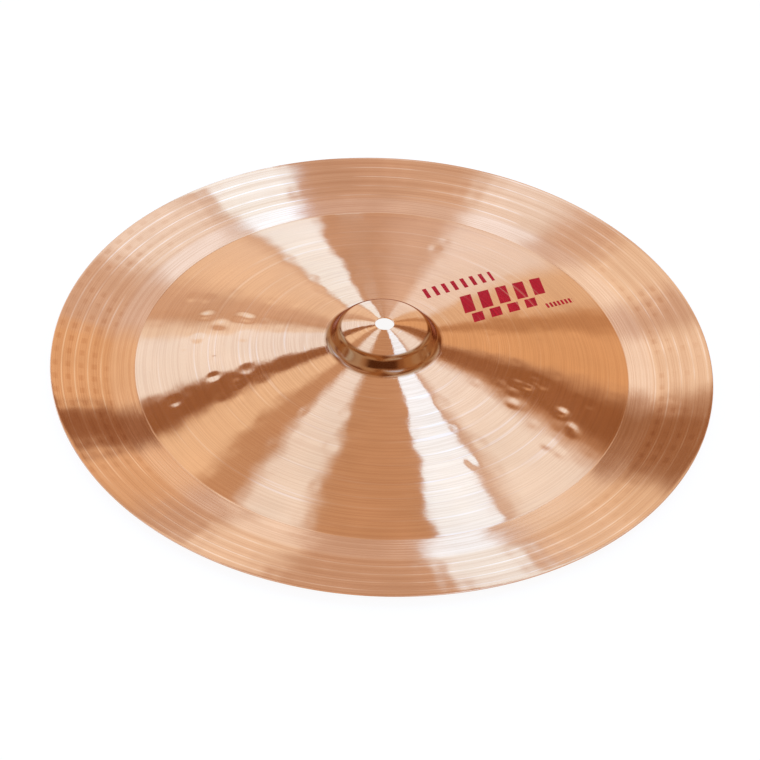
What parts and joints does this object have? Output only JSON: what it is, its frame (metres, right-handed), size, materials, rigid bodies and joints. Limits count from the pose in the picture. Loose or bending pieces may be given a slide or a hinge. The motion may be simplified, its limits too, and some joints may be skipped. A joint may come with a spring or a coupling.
{
  "type": "china cymbal",
  "caption": "Round bronze china cymbal with a small steep bell, a sloping bow, a sharp crease, a turned-up flange and a centre hole.",
  "frame": {"origin": "on the cymbal's axis, in the plane of the valley's underside, which is the lowest ring of the sheet and the one it rests on", "axes": "+Z along the axis, out of the top of the bell; +X and +Y are free on this round part, and the viewer of the picture stands on the -Y side"},
  "size_m": [0.4572, 0.4572, 0.0384],
  "materials": {
    "bronze": "lathe-turned tin bronze with fine concentric lines, reflecting in radial streaks"
  },
  "bodies": {
    "root": {"cymbal": "bronze"}
  },
  "joints": []
}
